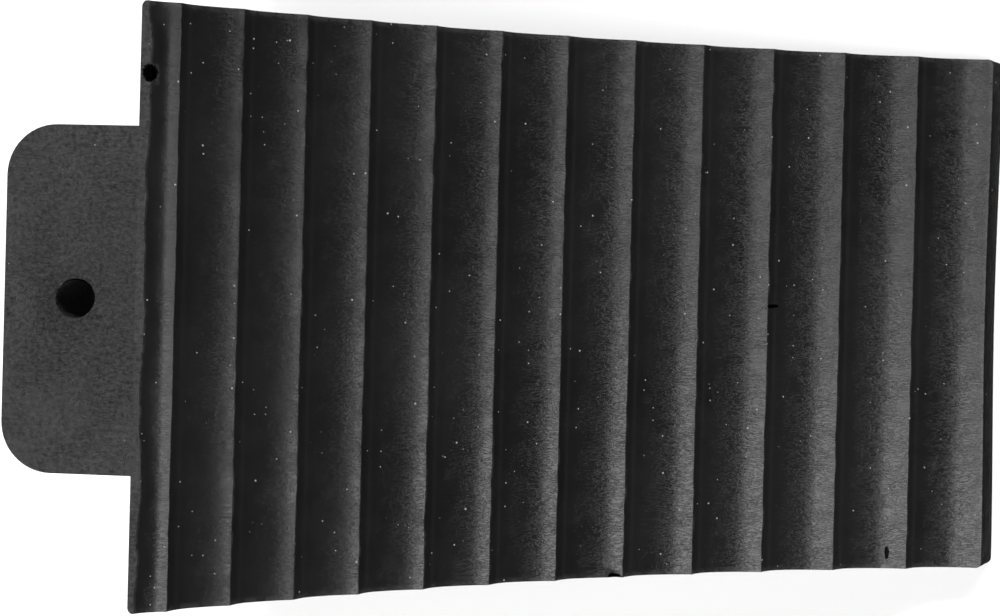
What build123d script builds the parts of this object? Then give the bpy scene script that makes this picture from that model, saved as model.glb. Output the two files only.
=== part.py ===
from build123d import *
from math import atan2, cos, hypot, sin, sqrt
import os

# Wheel chock: a moulded rubber wedge with a scalloped tread that a tyre rolls
# against, and a handle tab with an eyelet at the back of its crest.
# Millimetres. +X points to the toe, +Y across the tyre, +Z up.
# The origin is the middle of the base face, on the ground.

# Body
block_height = 150.0        # ground to crest, and to the top of the tab
block_width = 203.0         # across the tyre
back_corner_round = 2.0     # upright corners at the back
toe_corner_round = 2.5      # upright corners at the toe

# Crest, from the back edge towards the toe
crest_rim = 3.0             # rim of block rubber behind the facing
crest_land = 9.0            # facing from that rim to the first nose
crest_drop = 5.0            # first nose below the rim

# Tread: noses on one hollow arc, with a scallop between each two that drops
# steeply from its upper nose and runs out in a long shallow ramp to its lower one
tread_run = 293.0           # first nose to last nose, along the ground
tread_radius = 830.0        # arc through the noses
toe_height = 12.8           # last nose above the ground
toe_run = 6.0               # foot of the toe ahead of the last nose
toe_foot = 2.5              # upright edge under the sloping toe
scallop_count = 12
scallop_growth = 1.43       # last pitch over first pitch
scallop_depth = 0.09        # depth of a scallop over its pitch
scallop_deepest = 0.3       # place of its deepest point over its pitch
nose_round = 1.2            # rounding on each nose
crest_scoop = 0.9           # hollow of the land in front of the rim

# Bond between block and facing: a step down at the rim, then an arc as hollow as the tread
bond_step = 7.0             # height of the step
bond_toe_height = 4.5       # bond above the ground at the toe

# Handle tab
tab_length = 44.5           # out from the back face
tab_width = 116.0
tab_thickness = 38.0
tab_offset = 2.0            # middle of the tab, from the middle of the block
tab_corner_round = 17.0     # corners seen from above
tab_edge_round = 1.5        # top and bottom edges
tab_root_round = 10.0       # hollow under the root of the tab
eyelet_diameter = 12.7
eyelet_setback = 24.0       # centre of the eyelet from the end of the tab

# Grip grooves across the base
groove_pairs = 4            # grooves on each side of the middle
groove_pitch = 32.0
groove_width = 10.0
groove_depth = 2.5

# Places that follow from the sizes
base_length = crest_rim + crest_land + tread_run + toe_run
back_x = -base_length / 2
toe_x = base_length / 2
rim_x = back_x + crest_rim
first_nose = (rim_x + crest_land, block_height - crest_drop)
last_nose = (first_nose[0] + tread_run, toe_height)
eyelet_x = back_x - tab_length + eyelet_setback


def tread_centre():
    """Centre of the arc through the first and last nose, above the tread."""
    run = last_nose[0] - first_nose[0]
    rise = first_nose[1] - last_nose[1]
    chord = hypot(run, rise)
    reach = sqrt(tread_radius**2 - (chord / 2) ** 2)
    middle_x = (first_nose[0] + last_nose[0]) / 2
    middle_z = (first_nose[1] + last_nose[1]) / 2
    return middle_x + reach * rise / chord, middle_z + reach * run / chord


def nose_points():
    """Noses along the arc, each pitch longer than the one before by an equal step."""
    centre_x, centre_z = tread_centre()
    start = atan2(first_nose[1] - centre_z, first_nose[0] - centre_x)
    sweep = atan2(last_nose[1] - centre_z, last_nose[0] - centre_x) - start
    step = (scallop_growth - 1) / (scallop_count - 1)
    pitches = [1 + step * i for i in range(scallop_count)]
    points = []
    for i in range(scallop_count + 1):
        angle = start + sweep * sum(pitches[:i]) / sum(pitches)
        points.append((centre_x + tread_radius * cos(angle), centre_z + tread_radius * sin(angle)))
    return points


def scallop(high, low):
    """Two arcs that meet at the scallop's deepest point, where both run along its chord."""
    pitch = hypot(low[0] - high[0], low[1] - high[1])
    along = ((low[0] - high[0]) / pitch, (low[1] - high[1]) / pitch)
    reach = scallop_deepest * pitch
    depth = scallop_depth * pitch
    deepest = (
        high[0] + reach * along[0] + depth * along[1],
        high[1] + reach * along[1] - depth * along[0],
    )
    drop_radius = (reach**2 + depth**2) / (2 * depth)
    ramp_radius = ((pitch - reach) ** 2 + depth**2) / (2 * depth)
    return [RadiusArc(high, deepest, -drop_radius), RadiusArc(deepest, low, -ramp_radius)]


def side_profile(edges):
    """Closed outline seen from the side, as a face in the XZ plane."""
    return Plane.XZ * make_face(edges)


def across(profile, width):
    """Solid of a side profile, the same distance each side of the middle."""
    return extrude(profile, amount=width / 2, both=True)


def upright_edges(solid, x):
    """Upright edges of the body at one end."""
    return solid.edges().filter_by(Axis.Z).filter_by_position(Axis.X, x - 0.01, x + 0.01)


def nose_edges(solid, noses):
    """Edges along the noses."""
    crosswise = solid.edges().filter_by(Axis.Y)
    return [e for e in crosswise for x, z in noses if hypot(e.center().X - x, e.center().Z - z) < 0.01]


def wedge():
    """Block and facing as one wedge, with its scalloped tread."""
    noses = nose_points()
    rim = (rim_x, block_height)
    edges = [
        Line((back_x, 0), (back_x, block_height)),
        Line((back_x, block_height), rim),
        SagittaArc(rim, noses[0], -crest_scoop),
    ]
    for high, low in zip(noses, noses[1:]):
        edges += scallop(high, low)
    edges += [
        Line(noses[-1], (toe_x, toe_foot)),
        Line((toe_x, toe_foot), (toe_x, 0)),
        Line((toe_x, 0), (back_x, 0)),
    ]
    solid = across(side_profile(edges), block_width)
    solid = fillet(nose_edges(solid, noses), nose_round)
    solid = fillet(upright_edges(solid, back_x), back_corner_round)
    return fillet(upright_edges(solid, toe_x), toe_corner_round)


def above_bond():
    """Everything above the bond between block and facing."""
    start = (rim_x, block_height - bond_step)
    toe = (toe_x, bond_toe_height)
    out_x = toe_x + crest_rim
    top_z = block_height + crest_rim
    return across(side_profile([
        RadiusArc(start, toe, -tread_radius),
        Line(toe, (out_x, bond_toe_height)),
        Line((out_x, bond_toe_height), (out_x, top_z)),
        Line((out_x, top_z), (rim_x, top_z)),
        Line((rim_x, top_z), start),
    ]), 2 * block_width)


def tab_slab():
    """Flat slab of the tab, let into the rim, with rounded corners and edges."""
    end_x = back_x - tab_length
    inside_x = back_x + crest_rim / 2
    middle = Pos((end_x + inside_x) / 2, tab_offset, block_height - tab_thickness / 2)
    solid = middle * Box(inside_x - end_x, tab_width, tab_thickness)
    end_corners = solid.edges().filter_by(Axis.Z).group_by(Axis.X)[0]
    solid = fillet(end_corners, tab_corner_round)
    end_face = solid.faces().sort_by(Axis.X)[0]
    return fillet(end_face.edges().filter_by(Axis.Y), tab_edge_round)


def tab_root():
    """Hollow round under the tab, as wide as the flat of the tab's underside."""
    under_z = block_height - tab_thickness
    corner = (back_x, under_z)
    out = (back_x - tab_root_round, under_z)
    down = (back_x, under_z - tab_root_round)
    side = side_profile([Line(corner, out), RadiusArc(out, down, tab_root_round), Line(down, corner)])
    return Pos(Y=tab_offset) * across(side, tab_width - 2 * tab_edge_round)


def eyelet():
    """Cutter for the round hole through the tab."""
    middle = Pos(eyelet_x, tab_offset, block_height - tab_thickness / 2)
    return middle * Cylinder(eyelet_diameter / 2, 2 * tab_thickness)


def groove_bars():
    """Round-bottomed bars that cut the grip grooves, clear of the middle of the base."""
    half = groove_width / 2
    radius = (half**2 + groove_depth**2) / (2 * groove_depth)
    bar = Rot(X=90) * Cylinder(radius, 2 * block_width)
    places = [side * (i + 0.5) * groove_pitch for i in range(groove_pairs) for side in (-1, 1)]
    return [Pos(x, 0, groove_depth - radius) * bar for x in places]


whole = wedge()
facing_space = above_bond()
ribbed_facing = whole & facing_space
rubber_block = (whole - facing_space) + tab_slab() + tab_root() - eyelet()
for bar in groove_bars():
    rubber_block = rubber_block - bar

os.makedirs("parts", exist_ok=True)
export_step(rubber_block, "parts/rubber_block.step")
export_step(ribbed_facing, "parts/ribbed_facing.step")
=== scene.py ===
import math

import bmesh
import bpy
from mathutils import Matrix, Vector


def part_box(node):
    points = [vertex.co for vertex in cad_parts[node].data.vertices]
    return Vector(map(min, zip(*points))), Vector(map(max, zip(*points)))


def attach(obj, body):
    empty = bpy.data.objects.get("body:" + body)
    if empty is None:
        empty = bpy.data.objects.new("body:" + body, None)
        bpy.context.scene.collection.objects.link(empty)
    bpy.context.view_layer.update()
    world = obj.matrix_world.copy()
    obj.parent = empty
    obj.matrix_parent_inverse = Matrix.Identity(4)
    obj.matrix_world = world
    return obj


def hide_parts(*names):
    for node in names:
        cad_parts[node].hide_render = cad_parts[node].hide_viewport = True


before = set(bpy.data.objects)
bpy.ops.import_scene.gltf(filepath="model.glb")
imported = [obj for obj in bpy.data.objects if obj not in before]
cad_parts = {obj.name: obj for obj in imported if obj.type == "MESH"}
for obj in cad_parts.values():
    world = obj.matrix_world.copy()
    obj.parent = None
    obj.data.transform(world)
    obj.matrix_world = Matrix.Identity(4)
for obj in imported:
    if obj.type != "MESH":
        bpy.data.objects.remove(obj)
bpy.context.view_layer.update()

# A moulded rubber wheel chock: a block with a handle tab, and the scalloped facing
# cured onto it. Metres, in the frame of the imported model: +X to the toe, +Z up.

MM = 0.001

# ---------------------------------------------------------------- sizes

BLOCK_LOW, BLOCK_HIGH = (Vector(c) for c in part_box("rubber_block"))
FACING_LOW, FACING_HIGH = (Vector(c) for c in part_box("ribbed_facing"))

CREST = BLOCK_HIGH.z                     # top of the crest and of the tab
TOE_X = BLOCK_HIGH.x
TAB_END_X = BLOCK_LOW.x
RIM_X = FACING_LOW.x                     # edge of the rim, where the facing starts
CREST_RIM = 3.0 * MM
BACK_X = RIM_X - CREST_RIM
HALF_WIDTH = BLOCK_HIGH.y
WIDTH = 2 * HALF_WIDTH

CREST_LAND = 9.0 * MM
CREST_DROP = 5.0 * MM
CREST_SCOOP = 0.9 * MM
TREAD_RUN = 293.0 * MM
TREAD_RADIUS = 830.0 * MM
TOE_HEIGHT = 12.8 * MM
TOE_FOOT = 2.5 * MM
TOE_CORNER = 2.5 * MM
BACK_CORNER = 2.0 * MM
BOND_STEP = 7.0 * MM
BOND_TOE_HEIGHT = 4.5 * MM
SCALLOPS = 12
SCALLOP_GROWTH = 1.43
SCALLOP_DEPTH = 0.09                     # over its pitch
SCALLOP_DEEPEST = 0.3                    # its deepest point, over its pitch

TAB_THICKNESS = 38.0 * MM
TAB_WIDTH = 116.0 * MM
TAB_Y = 2.0 * MM
TAB_CORNER = 17.0 * MM
TAB_ROOT = 10.0 * MM
EYELET_SETBACK = 24.0 * MM
EYELET_X = TAB_END_X + EYELET_SETBACK
EYELET_RADIUS = 6.35 * MM
EYELET_PATCH = 10.0 * MM                 # half of the square that the hole is drawn in from
EYELET_RINGS = (1.35, 1.25, 1.15, 1.08, 1.03)    # of the mesh round the hole, over its radius
EYELET_LIP = 0.3 * MM

GROOVE_PAIRS = 4
GROOVE_PITCH = 32.0 * MM
GROOVE_HALF = 5.0 * MM
GROOVE_DEPTH = 2.5 * MM

RAMP_STEPS = 11
DROP_STEPS = 8
BOND_STEPS = 36
CROSS_CUTS = 190
EYELET_SIDES = 64
EYELET_STEPS = 12
EDGE_ROUND = 0.6 * MM

RIM_VOID_X = RIM_X + 0.2 * MM
RIM_VOID_Y = 77.6 * MM

CLOCKWISE = (0, -1, 0)                   # seen with the toe to the right
ANTICLOCKWISE = (0, 1, 0)


# ---------------------------------------------------------------- outline

def arc_centre(start, end, radius):
    """Centre of an arc between two points of the side view, on its upper side."""
    chord = end - start
    rise = Vector((-chord.y, chord.x)).normalized()
    reach = math.sqrt(radius**2 - chord.length_squared / 4)
    return (start + end) / 2 + rise * reach


def drop_radius(reach, depth):
    """Radius of an arc that starts level and has risen by the depth at that reach."""
    return (reach**2 + depth**2) / (2 * depth)


def sweep_angle(centre, start, end):
    """Angle between two points seen from a centre."""
    return (start - centre).angle(end - centre)


RIM = Vector((RIM_X, CREST))
BOND_START = Vector((RIM_X, CREST - BOND_STEP))
BOND_END = Vector((FACING_HIGH.x, FACING_LOW.z))
FIRST_NOSE = Vector((RIM_X + CREST_LAND, CREST - CREST_DROP))
LAST_NOSE = FIRST_NOSE + Vector((TREAD_RUN, TOE_HEIGHT - FIRST_NOSE.y))
BOND_CENTRE = arc_centre(BOND_START, Vector((TOE_X, BOND_TOE_HEIGHT)), TREAD_RADIUS)
BOND_ANGLE = sweep_angle(BOND_CENTRE, BOND_START, BOND_END)


def nose_points():
    """Noses along the tread's arc, with pitches that grow evenly towards the toe."""
    centre = arc_centre(FIRST_NOSE, LAST_NOSE, TREAD_RADIUS)
    arm = FIRST_NOSE - centre
    total = sweep_angle(centre, FIRST_NOSE, LAST_NOSE)
    step = (SCALLOP_GROWTH - 1) / (SCALLOPS - 1)
    pitches = [1 + step * i for i in range(SCALLOPS)]
    start = math.atan2(arm.y, arm.x)
    points = []
    for i in range(SCALLOPS + 1):
        angle = start + total * sum(pitches[:i]) / sum(pitches)
        points.append(centre + TREAD_RADIUS * Vector((math.cos(angle), math.sin(angle))))
    return points


NOSES = nose_points()


def deepest_point(high, low):
    """Where the drop and the ramp of a scallop meet."""
    chord = low - high
    below = Vector((chord.y, -chord.x)) * SCALLOP_DEPTH
    return high + chord * SCALLOP_DEEPEST + below


# ---------------------------------------------------------------- hand tools

def in_space(point):
    """A point of the side view, in the middle plane."""
    return (point.x, 0, point.y)


def nothing_selected():
    bpy.ops.object.select_all(action="DESELECT")


def new_plane(name, start, end):
    """A plane across the whole width between two points of the side view, open for editing."""
    nothing_selected()
    run = end - start
    tilt = -math.atan2(run.y, run.x)
    bpy.ops.mesh.primitive_plane_add(size=1, location=in_space((start + end) / 2), rotation=(0, tilt, 0))
    piece = bpy.context.object
    piece.name = name
    piece.scale = (run.length, WIDTH, 1)
    bpy.ops.object.transform_apply(location=True, rotation=True, scale=True)
    bpy.ops.object.mode_set(mode="EDIT")
    return piece


def pick(kind, test):
    """Selects only the vertices, edges or faces of the edited mesh that pass the test."""
    bpy.ops.mesh.select_all(action="DESELECT")
    bpy.ops.mesh.select_mode(type=kind)
    work = bmesh.from_edit_mesh(bpy.context.object.data)
    group = {"VERT": work.verts, "EDGE": work.edges, "FACE": work.faces}[kind]
    for item in group:
        item.select_set(bool(test(item)))
    work.select_flush_mode()
    bmesh.update_edit_mesh(bpy.context.object.data)


def middle(edge):
    return (edge.verts[0].co + edge.verts[1].co) / 2


def near(value, target, gap=0.01 * MM):
    return abs(value - target) < gap


def pick_cross_edge(point):
    """Selects the edge that runs across the width at a point of the side view."""
    pick("EDGE", lambda e: near(middle(e).x, point.x) and near(middle(e).z, point.y)
         and e.calc_length() > WIDTH / 2)


def sweep(centre, angle, axis, steps):
    """Turns the selected edge about a centre, leaving a curved wall behind it."""
    bpy.ops.mesh.spin(steps=steps, angle=angle, center=in_space(centre), axis=axis)


def pull(step):
    """Extrudes what is selected."""
    bpy.ops.mesh.extrude_region_move(TRANSFORM_OT_translate={"value": step})


def cut(kind_test, point, normal):
    """Bisects the faces that pass the test along a plane."""
    pick("FACE", kind_test)
    bpy.ops.mesh.bisect(plane_co=point, plane_no=normal)


def close_sides():
    """Merges the seam of a swept shell and closes its two flat sides."""
    bpy.ops.mesh.select_all(action="SELECT")
    bpy.ops.mesh.remove_doubles(threshold=0.01 * MM)
    for side in (-1, 1):
        pick("EDGE", lambda e: e.is_boundary and near(middle(e).y, side * HALF_WIDTH))
        bpy.ops.mesh.edge_face_add()
    bpy.ops.mesh.select_all(action="SELECT")
    bpy.ops.mesh.normals_make_consistent(inside=False)


def apply_modifier(piece, name, kind, **settings):
    """Adds a modifier, sets it and applies it."""
    modifier = piece.modifiers.new(name, kind)
    for setting, value in settings.items():
        setattr(modifier, setting, value)
    bpy.ops.object.modifier_apply(modifier=modifier.name)


def on_side_edge(edge):
    """An edge of the side view's outline, on either flat side."""
    return near(abs(edge.verts[0].co.y), HALF_WIDTH) and near(edge.verts[0].co.y, edge.verts[1].co.y)


def round_corner(test, width):
    """Rounds a chain of side edges with a bevel."""
    pick("EDGE", lambda e: on_side_edge(e) and test(middle(e)))
    bpy.ops.mesh.bevel(offset=width, segments=5, affect="EDGES")


def cut_across(cuts):
    """Divides the long crosswise edges, so that the surface can wander along the width."""
    bpy.ops.object.mode_set(mode="EDIT")
    pick("EDGE", lambda e: e.calc_length() > 0.8 * WIDTH)
    bpy.ops.mesh.subdivide(number_cuts=cuts)
    bpy.ops.object.mode_set(mode="OBJECT")


# ---------------------------------------------------------------- hand unevenness

def fade(distance, reach):
    """1 at no distance, falling smoothly to 0 at the reach."""
    if distance >= reach:
        return 0.0
    return 0.5 + 0.5 * math.cos(math.pi * distance / reach)


def weigh(piece, name, weight_at):
    """Vertex group whose weights follow from each vertex's place."""
    group = piece.vertex_groups.new(name=name)
    for vertex in piece.data.vertices:
        weight = weight_at(vertex.co)
        if weight > 0:
            group.add([vertex.index], weight, "REPLACE")


def shift(piece, name, weight_at, direction, strength, grain=None):
    """Moves weighted vertices along one direction, evenly or by clouds of a grain size."""
    weigh(piece, name, weight_at)
    settings = {"vertex_group": name, "direction": direction, "strength": strength, "mid_level": 0.0}
    if grain:
        clouds = bpy.data.textures.new(name, "CLOUDS")
        clouds.noise_scale = grain
        settings.update(texture=clouds, texture_coords="LOCAL", mid_level=0.5)
    apply_modifier(piece, name, "DISPLACE", **settings)


def near_rim(place):
    """Weight of the wandering edge between the rim and the land."""
    if place.z < CREST - 1.6 * BOND_STEP:
        return 0.0
    reach = 2.8 * MM if place.x < RIM_X else 5.0 * MM
    return fade(abs(place.x - RIM_X), reach)


def near_nose(place):
    """Weight of the scallops' noses, which aren't quite straight."""
    if place.z < BOND_TOE_HEIGHT:
        return 0.0
    return max(fade(math.hypot(place.x - nose.x, place.z - nose.y), 4 * MM) for nose in NOSES[:-1])


def near_toe_middle(place):
    """Weight of the toe, which bows in a little between its corners."""
    return fade(TOE_X - place.x, 25 * MM) * fade(abs(place.y), HALF_WIDTH)


def settle(piece):
    """What a real moulding adds to both pieces: a wandering rim and a bowed toe."""
    shift(piece, "rim_wander", near_rim, "X", 4.2 * MM, 22 * MM)
    shift(piece, "toe_bow", near_toe_middle, "X", -1.1 * MM)


def dent(piece, name, centre, reach, step):
    """A chip or nick: a small stretch of surface pressed in."""
    def weight(place):
        away = [(place[i] - centre[i]) / reach[i] for i in range(3)]
        return fade(math.hypot(*away), 1.0)
    shift(piece, name, weight, "Z", step)


def press_rim_void(piece):
    """The void that straddles the rim, pressed into both pieces."""
    centre = (RIM_VOID_X, RIM_VOID_Y, CREST - MM)
    dent(piece, "rim_void", centre, (2.6 * MM, 3.1 * MM, 9 * MM), -2.0 * MM)


def flaw_facing(piece):
    """The void at the rim and a notch on one side."""
    press_rim_void(piece)
    centre = (4.5 * MM, -HALF_WIDTH, 60.5 * MM)
    dent(piece, "side_notch", centre, (3.0 * MM, 1.8 * MM, 5 * MM), -1.2 * MM)


def eyelet_distance(point):
    return math.hypot(point.x - EYELET_X, point.y - TAB_Y)


def near_ledge(place):
    """Weight of the torn lip on one side of the eyelet's upper rim."""
    if place.z < CREST - 3 * MM or eyelet_distance(place) > 1.06 * EYELET_RADIUS:
        return 0.0
    middle_turn, spread = math.radians(40), math.radians(70)
    turn = math.atan2(place.y - TAB_Y, place.x - EYELET_X)
    return fade(abs(turn - middle_turn), spread)


def near_eyelet(place):
    """Weight of the mesh round the eyelet."""
    return fade(eyelet_distance(place), EYELET_RINGS[0] * EYELET_RADIUS)


def flaw_block(piece):
    """The void at the rim, and a torn ledge and an uneven edge round the eyelet."""
    press_rim_void(piece)
    shift(piece, "eyelet_ledge", near_ledge, "Z", -0.8 * MM)
    shift(piece, "eyelet_tear", near_eyelet, "X", 1.6 * MM, 3 * MM)


# ---------------------------------------------------------------- facing

def build_facing():
    """The scalloped facing, swept from its toe face back to the rim."""
    piece = new_plane("tread_facing", LAST_NOSE, BOND_END)
    pick_cross_edge(LAST_NOSE)
    for low, high in zip(reversed(NOSES[1:]), reversed(NOSES[:-1])):
        pitch = (low - high).length
        deepest = deepest_point(high, low)
        depth = SCALLOP_DEPTH * pitch
        ramp = arc_centre(deepest, low, drop_radius((1 - SCALLOP_DEEPEST) * pitch, depth))
        sweep(ramp, sweep_angle(ramp, low, deepest), CLOCKWISE, RAMP_STEPS)
        drop = arc_centre(high, deepest, drop_radius(SCALLOP_DEEPEST * pitch, depth))
        sweep(drop, sweep_angle(drop, deepest, high), CLOCKWISE, DROP_STEPS)
    land = arc_centre(RIM, FIRST_NOSE, drop_radius((RIM - FIRST_NOSE).length / 2, CREST_SCOOP))
    sweep(land, sweep_angle(land, FIRST_NOSE, RIM), CLOCKWISE, RAMP_STEPS)
    pick_cross_edge(BOND_END)
    sweep(BOND_CENTRE, BOND_ANGLE, CLOCKWISE, BOND_STEPS)
    pull((0, 0, BOND_STEP))
    close_sides()
    round_corner(lambda m: m.x > LAST_NOSE.x and m.z > BOND_END.y, TOE_CORNER)
    bpy.ops.object.mode_set(mode="OBJECT")
    apply_modifier(piece, "edge_round", "BEVEL", width=EDGE_ROUND, segments=3,
                   limit_method="ANGLE", angle_limit=math.radians(30))
    cut_across(CROSS_CUTS)
    settle(piece)
    shift(piece, "nose_wander", near_nose, "X", 0.75 * MM, 9 * MM)
    flaw_facing(piece)
    return piece


# ---------------------------------------------------------------- block

def on_back(face):
    return face.normal.x < -0.9 and near(face.calc_center_median().x, BACK_X, 0.1 * MM)


def in_tab(point):
    return abs(point.y - TAB_Y) < TAB_WIDTH / 2 and point.z > CREST - TAB_THICKNESS


def sweep_base():
    """From the toe's foot back along the base, with its round-bottomed grip grooves."""
    radius = (GROOVE_HALF**2 + GROOVE_DEPTH**2) / (2 * GROOVE_DEPTH)
    reach = TOE_X
    for i in reversed(range(-GROOVE_PAIRS, GROOVE_PAIRS)):
        groove_x = (i + 0.5) * GROOVE_PITCH
        pull((groove_x + GROOVE_HALF - reach, 0, 0))
        centre = Vector((groove_x, GROOVE_DEPTH - radius))
        sweep(centre, 2 * math.asin(GROOVE_HALF / radius), ANTICLOCKWISE, 10)
        reach = groove_x - GROOVE_HALF
    pull((BACK_X - reach, 0, 0))


def pull_tab():
    """The tab, pulled out of the back face, with rounded corners and a hollow under its root."""
    under = CREST - TAB_THICKNESS
    cut(on_back, (0, TAB_Y - TAB_WIDTH / 2, 0), (0, 1, 0))
    cut(on_back, (0, TAB_Y + TAB_WIDTH / 2, 0), (0, 1, 0))
    cut(lambda f: on_back(f) and near(f.calc_center_median().y, TAB_Y, MM), (0, 0, under), (0, 0, 1))
    pick("FACE", lambda f: on_back(f) and in_tab(f.calc_center_median()))
    pull((TAB_END_X - BACK_X, 0, 0))
    pick("EDGE", lambda e: near(middle(e).x, TAB_END_X) and near(middle(e).z, CREST - TAB_THICKNESS / 2, MM))
    bpy.ops.mesh.bevel(offset=TAB_CORNER, segments=14, affect="EDGES")
    pick("EDGE", lambda e: near(middle(e).x, BACK_X) and near(middle(e).z, under)
         and near(middle(e).y, TAB_Y, MM))
    bpy.ops.mesh.bevel(offset=TAB_ROOT, segments=8, affect="EDGES")


def on_tab_face(face):
    """The flat top or underside of the tab."""
    place = face.calc_center_median()
    return abs(face.normal.z) > 0.99 and place.x < BACK_X and place.z > CREST - 1.1 * TAB_THICKNESS


def to_radius(radius):
    """Scales the selected ring about the eyelet's axis to a radius."""
    work = bmesh.from_edit_mesh(bpy.context.object.data)
    now = next(eyelet_distance(v.co) for v in work.verts if v.select)
    factor = radius / now
    bpy.ops.transform.resize(value=(factor, factor, 1), center_override=(EYELET_X, TAB_Y, CREST))


def open_eyelet():
    """The round hole, drawn in from a square patch on each face of the tab."""
    for side in (-1, 1):
        cut(on_tab_face, (EYELET_X + side * EYELET_PATCH, 0, 0), (1, 0, 0))
        cut(on_tab_face, (0, TAB_Y + side * EYELET_PATCH, 0), (0, 1, 0))
    pick("FACE", lambda f: on_tab_face(f) and eyelet_distance(f.calc_center_median()) < MM)
    bpy.ops.mesh.delete(type="ONLY_FACE")
    pick("EDGE", lambda e: e.is_boundary)
    bpy.ops.mesh.subdivide(number_cuts=EYELET_SIDES // 4 - 1)
    under = CREST - TAB_THICKNESS
    for height, inwards in ((under, EYELET_LIP), (CREST, -EYELET_LIP)):
        pick("EDGE", lambda e: e.is_boundary and near(middle(e).z, height))
        pull((0, 0, 0))
        bpy.ops.transform.tosphere(value=1.0)
        to_radius(EYELET_RINGS[0] * EYELET_RADIUS)
        for factor in EYELET_RINGS[1:]:
            pull((0, 0, 0))
            to_radius(factor * EYELET_RADIUS)
        pull((0, 0, inwards))
        to_radius(EYELET_RADIUS)
    for _ in range(EYELET_STEPS):
        pull((0, 0, (2 * EYELET_LIP - TAB_THICKNESS) / EYELET_STEPS))
    bpy.ops.mesh.select_all(action="SELECT")
    bpy.ops.mesh.remove_doubles(threshold=0.02 * MM)
    bpy.ops.mesh.normals_make_consistent(inside=False)
    bpy.ops.object.mode_set(mode="OBJECT")


def build_block():
    """The block, swept from the rim round its side view, with the tab and its eyelet."""
    piece = new_plane("rubber_body", Vector((BACK_X, CREST)), RIM)
    pick_cross_edge(RIM)
    pull((0, 0, -BOND_STEP))
    sweep(BOND_CENTRE, BOND_ANGLE, ANTICLOCKWISE, BOND_STEPS)
    pull((TOE_X - BOND_END.x, 0, TOE_FOOT - BOND_END.y))
    pull((0, 0, -TOE_FOOT))
    sweep_base()
    pull((0, 0, CREST))
    close_sides()
    round_corner(lambda m: m.x > BOND_END.x, TOE_CORNER)
    round_corner(lambda m: near(m.x, BACK_X), BACK_CORNER)
    pull_tab()
    bpy.ops.object.mode_set(mode="OBJECT")
    apply_modifier(piece, "edge_round", "BEVEL", width=EDGE_ROUND, segments=3,
                   limit_method="ANGLE", angle_limit=math.radians(30))
    bpy.ops.object.mode_set(mode="EDIT")
    open_eyelet()
    cut_across(CROSS_CUTS)
    settle(piece)
    flaw_block(piece)
    return piece


# ---------------------------------------------------------------- node groups

def add(tree, kind, inputs=None, **settings):
    """Adds a node, sets it, and fills its inputs with values or with other nodes' outputs."""
    made = tree.nodes.new(kind)
    for setting, value in settings.items():
        setattr(made, setting, value)
    for name, value in (inputs or {}).items():
        if isinstance(value, bpy.types.NodeSocket):
            tree.links.new(value, made.inputs[name])
        else:
            made.inputs[name].default_value = value
    return made


def sum_of(tree, operation, first, second=0.0, third=0.0):
    """Output of a Math node."""
    return add(tree, "ShaderNodeMath", {0: first, 1: second, 2: third}, operation=operation).outputs[0]


def stretched(tree, place, factors):
    """A place with each of its axes scaled."""
    return add(tree, "ShaderNodeVectorMath", {0: place, 1: factors}, operation="MULTIPLY").outputs[0]


def noise(tree, place, scale, detail=2.0, roughness=0.5, distortion=0.0):
    """Value of a Noise Texture."""
    return add(tree, "ShaderNodeTexNoise", {"Vector": place, "Scale": scale, "Detail": detail,
                                            "Roughness": roughness, "Distortion": distortion}).outputs["Fac"]


def between(tree, value, low, high, to_low=0.0, to_high=1.0, smooth=True):
    """A value mapped from one range to another and clamped there."""
    kind = "SMOOTHSTEP" if smooth else "LINEAR"
    return add(tree, "ShaderNodeMapRange", {"Value": value, "From Min": low, "From Max": high,
                                            "To Min": to_low, "To Max": to_high},
               interpolation_type=kind).outputs["Result"]


def new_group(name, inputs, outputs):
    """An empty node group with named sockets, and its input and output nodes."""
    group = bpy.data.node_groups.new(name, "ShaderNodeTree")
    for socket_name, kind, value in inputs:
        socket = group.interface.new_socket(name=socket_name, in_out="INPUT", socket_type=kind)
        if value is not None:
            socket.default_value = value
    for socket_name in outputs:
        group.interface.new_socket(name=socket_name, in_out="OUTPUT", socket_type="NodeSocketFloat")
    return group, group.nodes.new("NodeGroupInput").outputs, group.nodes.new("NodeGroupOutput").inputs


def place_group(tree, group, inputs):
    """A group used in a material, with its own values."""
    return add(tree, "ShaderNodeGroup", inputs, node_tree=group).outputs


VECTOR = "NodeSocketVector"
NUMBER = "NodeSocketFloat"


def group_leather_grain():
    """Leathery mould grain: fine cells, with short strokes that run along X."""
    group, given, out = new_group("leather_grain", [
        ("Place", VECTOR, None), ("Cell", NUMBER, 1.0), ("Strokes", NUMBER, 0.5)], ["Height", "Mottle"])
    per_mm = sum_of(group, "DIVIDE", 1.0, given["Cell"])
    cells = noise(group, given["Place"], per_mm, detail=4.0, roughness=0.62)
    lined = stretched(group, given["Place"], (0.32, 1.0, 1.0))
    strokes = noise(group, lined, sum_of(group, "MULTIPLY", per_mm, 1.5), detail=2.0, distortion=0.8)
    patches = between(group, noise(group, given["Place"], 0.05, detail=2.0), 0.40, 0.60)
    stroke_height = sum_of(group, "MULTIPLY", sum_of(group, "MULTIPLY", strokes, given["Strokes"]), patches)
    group.links.new(sum_of(group, "ADD", cells, stroke_height), out["Height"])
    group.links.new(between(group, cells, 0.35, 0.65), out["Mottle"])
    return group


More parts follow.
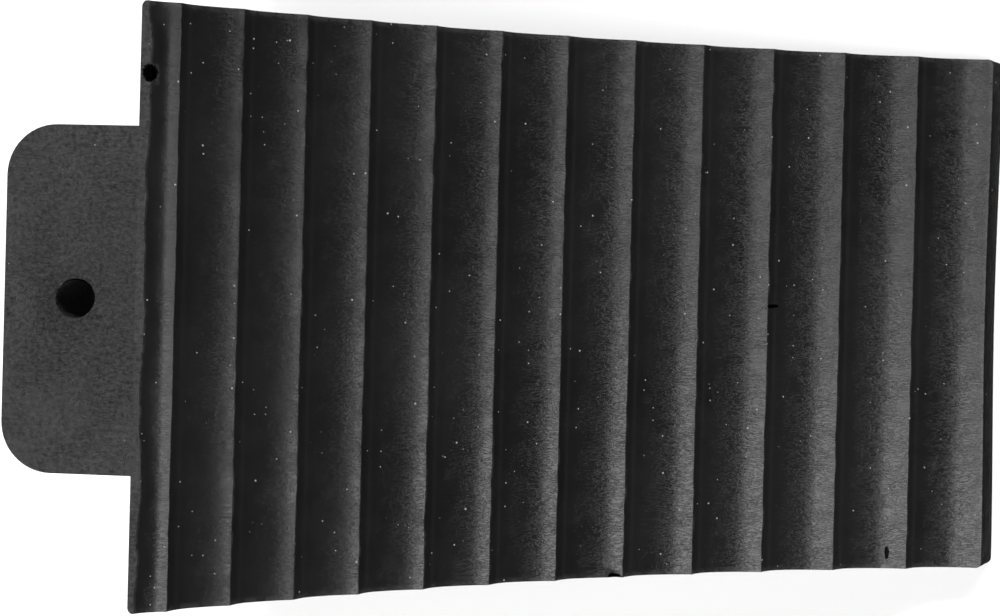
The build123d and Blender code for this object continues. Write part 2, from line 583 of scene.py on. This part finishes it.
def group_flow_wrinkles():
    """Short shallow wrinkles left by the rubber's flow, in patches, mostly along X."""
    group, given, out = new_group("flow_wrinkles", [
        ("Place", VECTOR, None), ("Length", NUMBER, 7.0), ("Spacing", NUMBER, 1.4),
        ("Cover", NUMBER, 0.5)], ["Height", "Mask"])
    bend = add(group, "ShaderNodeTexNoise", {"Vector": given["Place"], "Scale": 0.09, "Detail": 1.0})
    bend = stretched(group, bend.outputs["Color"], (5, 5, 5))
    bent = add(group, "ShaderNodeVectorMath", {0: given["Place"], 1: bend}, operation="ADD").outputs[0]
    along = sum_of(group, "DIVIDE", 1.0, given["Length"])
    across_it = sum_of(group, "DIVIDE", 1.0, given["Spacing"])
    scale = add(group, "ShaderNodeCombineXYZ", {"X": along, "Y": across_it, "Z": along}).outputs[0]
    ripples = noise(group, stretched(group, bent, scale), 1.0, detail=2.5, roughness=0.6)
    swell = sum_of(group, "SUBTRACT", ripples, 0.5)
    crease = between(group, sum_of(group, "ABSOLUTE", swell), 0.06, 0.0)
    spread = noise(group, given["Place"], 0.075, detail=2.0, roughness=0.6)
    edge = sum_of(group, "SUBTRACT", 0.80, sum_of(group, "MULTIPLY", given["Cover"], 0.5))
    mask = between(group, spread, sum_of(group, "SUBTRACT", edge, 0.12), sum_of(group, "ADD", edge, 0.12))
    height = sum_of(group, "SUBTRACT", swell, sum_of(group, "MULTIPLY", crease, 0.25))
    group.links.new(sum_of(group, "MULTIPLY", height, mask), out["Height"])
    group.links.new(mask, out["Mask"])
    return group


def group_dust_specks():
    """Tiny pale specks of dust and lint, each a different size."""
    group, given, out = new_group("dust_specks", [
        ("Place", VECTOR, None), ("Apart", NUMBER, 7.0), ("Radius", NUMBER, 0.3)], ["Mask"])
    speck = add(group, "ShaderNodeTexVoronoi", {"Vector": given["Place"],
                                                "Scale": sum_of(group, "DIVIDE", 1.0, given["Apart"])})
    away = sum_of(group, "MULTIPLY", speck.outputs["Distance"], given["Apart"])
    red = add(group, "ShaderNodeSeparateColor", {"Color": speck.outputs["Color"]}).outputs["Red"]
    size = sum_of(group, "MULTIPLY", sum_of(group, "POWER", red, 1.5), given["Radius"])
    ragged = sum_of(group, "ADD", away, sum_of(group, "MULTIPLY", noise(group, given["Place"], 4.0), 0.15))
    group.links.new(between(group, sum_of(group, "SUBTRACT", ragged, size), 0.12, 0.0), out["Mask"])
    return group


def group_bloom():
    """Uneven cloudiness of cured rubber: broad smudges, with finer ones in them."""
    group, given, out = new_group("bloom", [("Place", VECTOR, None), ("Broad", NUMBER, 60.0)], ["Haze"])
    broad = noise(group, given["Place"], sum_of(group, "DIVIDE", 1.0, given["Broad"]), detail=3.0)
    fine_scale = sum_of(group, "DIVIDE", 6.0, given["Broad"])
    fine = noise(group, given["Place"], fine_scale, detail=3.0, distortion=0.6)
    both = sum_of(group, "ADD", sum_of(group, "MULTIPLY", broad, 0.65), sum_of(group, "MULTIPLY", fine, 0.35))
    group.links.new(between(group, both, 0.36, 0.64), out["Haze"])
    return group


def group_edge_rub():
    """Rubbed edges, from the worn attribute, broken up by noise."""
    group, given, out = new_group("edge_rub", [
        ("Place", VECTOR, None), ("Worn", NUMBER, 0.0), ("Grain", NUMBER, 2.0)], ["Mask"])
    broken = between(group, noise(group, given["Place"], sum_of(group, "DIVIDE", 1.0, given["Grain"]),
                                  detail=3.0), 0.38, 0.60, 0.25, 1.0)
    group.links.new(sum_of(group, "MULTIPLY", given["Worn"], broken), out["Mask"])
    return group


# ---------------------------------------------------------------- materials

def new_material(name):
    material = bpy.data.materials.new(name)
    material.use_nodes = True
    return material, material.node_tree, material.node_tree.nodes["Principled BSDF"]


def place_in_mm(tree):
    coordinates = tree.nodes.new("ShaderNodeTexCoord")
    return stretched(tree, coordinates.outputs["Object"], (1000, 1000, 1000))


def mixed(tree, factor, first, second):
    """Two colours mixed by a mask."""
    mix = add(tree, "ShaderNodeMix", {"Factor": factor}, data_type="RGBA")
    for socket, value in ((mix.inputs[6], first), (mix.inputs[7], second)):
        if isinstance(value, bpy.types.NodeSocket):
            tree.links.new(value, socket)
        else:
            socket.default_value = (*value, 1)
    return mix.outputs[2]


def bump(tree, height, depth, under=None):
    """A relief whose height of 1 stands for a depth in metres."""
    inputs = {"Height": height, "Strength": 1.0, "Distance": depth}
    if under:
        inputs["Normal"] = under
    return add(tree, "ShaderNodeBump", inputs).outputs["Normal"]


def pit(tree, place, centre, reach, raggedness=1.0):
    """Mask of a small ragged void or nick, with its centre and half sizes in millimetres."""
    away = add(tree, "ShaderNodeVectorMath", {0: place, 1: centre}, operation="SUBTRACT").outputs[0]
    scaled = add(tree, "ShaderNodeVectorMath", {0: away, 1: reach}, operation="DIVIDE").outputs[0]
    far = add(tree, "ShaderNodeVectorMath", {0: scaled}, operation="LENGTH").outputs["Value"]
    wobble = sum_of(tree, "SUBTRACT", noise(tree, place, 0.9, detail=3.0), 0.5)
    ragged = sum_of(tree, "ADD", far, sum_of(tree, "MULTIPLY", wobble, raggedness))
    soft = 0.02 + 0.1 * raggedness
    return between(tree, ragged, 1 + soft, 1 - soft)


def rim_pit(tree, place):
    """Mask of the void that straddles the rim."""
    return pit(tree, place, (RIM_VOID_X / MM, RIM_VOID_Y / MM, CREST / MM), (2.3, 2.7, 9.0))


def sink(tree, shader, mask, relief):
    """Presses the voids in. Metallic takes the pale gloss off their insides, so that the near-black painted
    shade there stays black.
    """
    tree.links.new(mask, shader.inputs["Metallic"])
    left = sum_of(tree, "SUBTRACT", 1.0, mask)
    return bump(tree, left, 0.8 * MM, relief)


DUST = (0.24, 0.235, 0.225)
# Painted shade: near black for the insides of voids, nicks and the eyelet's mouth, standing in for the shade
# inside them.
PAINTED_SHADE_BLACK = (0.003, 0.003, 0.003)


def rough_with_dust(tree, dull, dust):
    """A roughness that rises to matt where the dust lies."""
    return sum_of(tree, "MAXIMUM", dull, sum_of(tree, "MULTIPLY", dust, 0.8))


def facing_material(groups):
    """Smooth black facing rubber: semi-gloss, wrinkled in patches, dusty, rubbed on its noses, where the
    lighter colour is also a painted highlight, with painted shade in its voids and nicks.
    """
    material, tree, shader = new_material("tread_rubber")
    place = place_in_mm(tree)
    haze = place_group(tree, groups["bloom"], {"Place": place, "Broad": 70.0})["Haze"]
    grain = place_group(tree, groups["grain"], {"Place": place, "Cell": 1.2, "Strokes": 1.6})
    wrinkles = place_group(tree, groups["wrinkles"], {"Place": place, "Length": 3.2, "Spacing": 0.75,
                                                      "Cover": 1.0})
    dust = place_group(tree, groups["dust"], {"Place": place, "Apart": 3.6, "Radius": 0.37})["Mask"]
    worn = add(tree, "ShaderNodeAttribute", attribute_name="worn").outputs["Fac"]
    rub = place_group(tree, groups["rub"], {"Place": place, "Worn": worn, "Grain": 3.0})["Mask"]
    black = mixed(tree, haze, (0.0066, 0.0066, 0.0068), (0.0098, 0.0098, 0.0100))
    # The lighter colour on sharp edges here is partly wear and partly a painted highlight: the thin bright
    # line along each nose.
    rubbed = mixed(tree, sum_of(tree, "MULTIPLY", rub, 0.5), black, (0.045, 0.045, 0.046))
    dusty = mixed(tree, dust, rubbed, DUST)
    # Painted shade: the rim void, the side notch and the two nicks are painted near black, for the shade
    # inside them; the nicks have no dent in the mesh, only this paint and a bump.
    toe_nick = pit(tree, place, (111.0, -95.4, 21.5), (0.8, 2.5, 4.0))
    nose_nick = pit(tree, place, (62.6, 1.6, 37.0), (2.4, 0.7, 4.0))
    side_notch = pit(tree, place, (4.0, -100.9, 60.5), (2.2, 1.0, 4.0))
    voids = rim_pit(tree, place)
    for flaw in (toe_nick, nose_nick, side_notch):
        voids = sum_of(tree, "MAXIMUM", voids, flaw)
    tree.links.new(mixed(tree, voids, dusty, PAINTED_SHADE_BLACK), shader.inputs["Base Color"])
    along = add(tree, "ShaderNodeSeparateXYZ", {"Vector": place}).outputs["X"]
    rougher_crest = between(tree, along, -140.0, 20.0, 0.20, 0.095)
    dull = sum_of(tree, "ADD", rougher_crest, sum_of(tree, "MULTIPLY", haze, 0.02))
    tree.links.new(rough_with_dust(tree, dull, dust), shader.inputs["Roughness"])
    relief = bump(tree, grain["Height"], 0.013 * MM)
    relief = bump(tree, wrinkles["Height"], 0.078 * MM, relief)
    tree.links.new(sink(tree, shader, voids, relief), shader.inputs["Normal"])
    return material


def eyelet_creases(tree, place):
    """Fine creases that fan out from the eyelet, most of them towards the end of the tab."""
    centre = (EYELET_X / MM, TAB_Y / MM, 0)
    away = add(tree, "ShaderNodeVectorMath", {0: place, 1: centre}, operation="SUBTRACT").outputs[0]
    parts = add(tree, "ShaderNodeSeparateXYZ", {"Vector": away}).outputs
    turn = sum_of(tree, "ARCTAN2", parts["Y"], parts["X"])
    level = stretched(tree, away, (1, 1, 0))
    out = add(tree, "ShaderNodeVectorMath", {0: level}, operation="LENGTH").outputs["Value"]
    fan = add(tree, "ShaderNodeCombineXYZ", {
        "X": sum_of(tree, "COSINE", turn), "Y": sum_of(tree, "SINE", turn),
        "Z": sum_of(tree, "MULTIPLY", out, 0.02)}).outputs[0]
    rays = noise(tree, fan, 13.0, detail=3.0, roughness=0.6)
    towards_end = between(tree, parts["X"], 6.0, -8.0, 0.25, 1.0, False)
    reach = between(tree, out, 16.0, 6.5)
    return sum_of(tree, "MULTIPLY", sum_of(tree, "MULTIPLY", rays, towards_end), reach)


def block_material(groups):
    """Black body rubber with a leathery grain, duller than the facing."""
    material, tree, shader = new_material("body_rubber")
    place = place_in_mm(tree)
    haze = place_group(tree, groups["bloom"], {"Place": place, "Broad": 45.0})["Haze"]
    grain = place_group(tree, groups["grain"], {"Place": place, "Cell": 1.5, "Strokes": 1.3})
    wrinkles = place_group(tree, groups["wrinkles"], {"Place": place, "Length": 3.6, "Spacing": 1.1,
                                                      "Cover": 0.8})
    dust = place_group(tree, groups["dust"], {"Place": place, "Apart": 4.6, "Radius": 0.30})["Mask"]
    worn = add(tree, "ShaderNodeAttribute", attribute_name="worn").outputs["Fac"]
    rub = place_group(tree, groups["rub"], {"Place": place, "Worn": worn, "Grain": 2.0})["Mask"]
    black = mixed(tree, haze, (0.0085, 0.0085, 0.0087), (0.0125, 0.0125, 0.0128))
    mottled = mixed(tree, sum_of(tree, "MULTIPLY", grain["Mottle"], 0.8), black, (0.032, 0.032, 0.0325))
    rubbed = mixed(tree, sum_of(tree, "MULTIPLY", rub, 0.4), mottled, (0.05, 0.05, 0.051))
    dusty = mixed(tree, dust, rubbed, DUST)
    # Painted shade: the mouth of the eyelet with its torn ledge, and the rim void, are painted near black,
    # for the shade inside them.
    hole = EYELET_RADIUS / MM
    torn = (EYELET_X / MM + 0.55, TAB_Y / MM + 0.55, CREST / MM)
    ledge = pit(tree, place, torn, (hole, hole, 3.0), 0.12)
    void = sum_of(tree, "MAXIMUM", rim_pit(tree, place), ledge)
    tree.links.new(mixed(tree, void, dusty, PAINTED_SHADE_BLACK), shader.inputs["Base Color"])
    dull = between(tree, haze, 0.0, 1.0, 0.46, 0.54, False)
    tree.links.new(rough_with_dust(tree, dull, dust), shader.inputs["Roughness"])
    relief = bump(tree, grain["Height"], 0.75 * MM)
    relief = bump(tree, wrinkles["Height"], 0.34 * MM, relief)
    relief = bump(tree, eyelet_creases(tree, place), 0.9 * MM, relief)
    tree.links.new(sink(tree, shader, void, relief), shader.inputs["Normal"])
    return material


def floor_material():
    """Matt white sweep, barely uneven."""
    material, tree, shader = new_material("pale_floor")
    place = place_in_mm(tree)
    tone = between(tree, noise(tree, place, 0.004, detail=2.0), 0.3, 0.7)
    tree.links.new(mixed(tree, tone, (0.88, 0.88, 0.88), (0.9, 0.9, 0.9)), shader.inputs["Base Color"])
    shader.inputs["Roughness"].default_value = 0.9
    return material


# ---------------------------------------------------------------- finish

def mark_worn(piece):
    """Stores how sharply the surface turns at each vertex, for the edge rub."""
    work = bmesh.new()
    work.from_mesh(piece.data)
    turns = [max((e.calc_face_angle(0.0) for e in v.link_edges), default=0.0) for v in work.verts]
    work.free()
    worn = piece.data.attributes.new("worn", "FLOAT", "POINT")
    for i, turn in enumerate(turns):
        worn.data[i].value = 1.0 if turn > math.radians(11) else 0.0


def finish_piece(piece, material, node):
    """Surface, shading, and the place in the frame."""
    mark_worn(piece)
    piece.data.materials.append(material)
    nothing_selected()
    piece.select_set(True)
    bpy.context.view_layer.objects.active = piece
    bpy.ops.object.shade_smooth_by_angle(angle=math.radians(35))
    apply_modifier(piece, "even_shading", "WEIGHTED_NORMAL", keep_sharp=True, weight=80)
    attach(piece, "root")
    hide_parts(node)


# ---------------------------------------------------------------- stage

def build_floor():
    nothing_selected()
    bpy.ops.mesh.primitive_plane_add(size=8, location=(0, 0, -0.0002))
    floor = bpy.context.object
    floor.name = "studio_floor"
    floor.data.materials.append(floor_material())
    floor.visible_glossy = False


def soft_light(name, place, target, size, radiance, reflected=True):
    """A rectangular softbox. Its power follows from its size and how bright its face is."""
    data = bpy.data.lights.new(name, "AREA")
    data.shape = "RECTANGLE"
    data.size, data.size_y = size
    data.energy = radiance * size[0] * size[1] * math.pi
    light = bpy.data.objects.new(name, data)
    light.location = place
    light.rotation_euler = (Vector(target) - Vector(place)).to_track_quat("-Z", "Y").to_euler()
    light.visible_glossy = reflected
    bpy.context.collection.objects.link(light)


def overhead(name, x_range, y_range, radiance, height=4.0):
    """A level softbox above the object."""
    x = sum(x_range) / 2
    y = sum(y_range) / 2
    size = (x_range[1] - x_range[0], y_range[1] - y_range[0])
    soft_light(name, (x, y, height), (x, y, 0), size, radiance)


def build_lights():
    overhead("overhead_softbox", (-1.9, 2.05), (-1.9, 1.0), 1.35)
    overhead("toe_side_strip", (1.15, 2.05), (-1.9, 1.0), 1.0, 3.98)
    overhead("near_side_strip", (-1.9, 2.05), (-2.6, -0.45), 2.5, 3.96)
    soft_light("left_fill", (-0.2, 2.2, 1.3), (0, 0, 0), (2.0, 1.2), 14.0, reflected=False)
    soft_light("right_fill", (-0.2, -2.2, 1.3), (0, 0, 0), (2.0, 1.2), 8.0, reflected=False)
    soft_light("far_strip", (3.5, 0, 0.65), (0, 0, 0.1), (6.0, 0.6), 0.12)
    world = bpy.data.worlds.new("studio")
    world.use_nodes = True
    world.node_tree.nodes["Background"].inputs["Color"].default_value = (0.025, 0.025, 0.025, 1)
    bpy.context.scene.world = world
    bpy.context.scene.view_settings.view_transform = "Standard"


def build_camera():
    """Above the tread and almost straight down on it, leaning a little towards the crest."""
    data = bpy.data.cameras.new("camera")
    data.sensor_width = 36
    data.lens = 57.96
    data.shift_x = 0.0055
    data.shift_y = -0.075
    camera = bpy.data.objects.new("camera", data)
    camera.location = (8.8 * MM, 27.4 * MM, 669.9 * MM)
    camera.rotation_mode = "ZYX"
    camera.rotation_euler = (0, math.radians(5.0), math.radians(1.42))
    bpy.context.collection.objects.link(camera)
    bpy.context.scene.camera = camera


groups = {
    "grain": group_leather_grain(),
    "wrinkles": group_flow_wrinkles(),
    "dust": group_dust_specks(),
    "bloom": group_bloom(),
    "rub": group_edge_rub(),
}
finish_piece(build_facing(), facing_material(groups), "ribbed_facing")
finish_piece(build_block(), block_material(groups), "rubber_block")
build_floor()
build_lights()
build_camera()
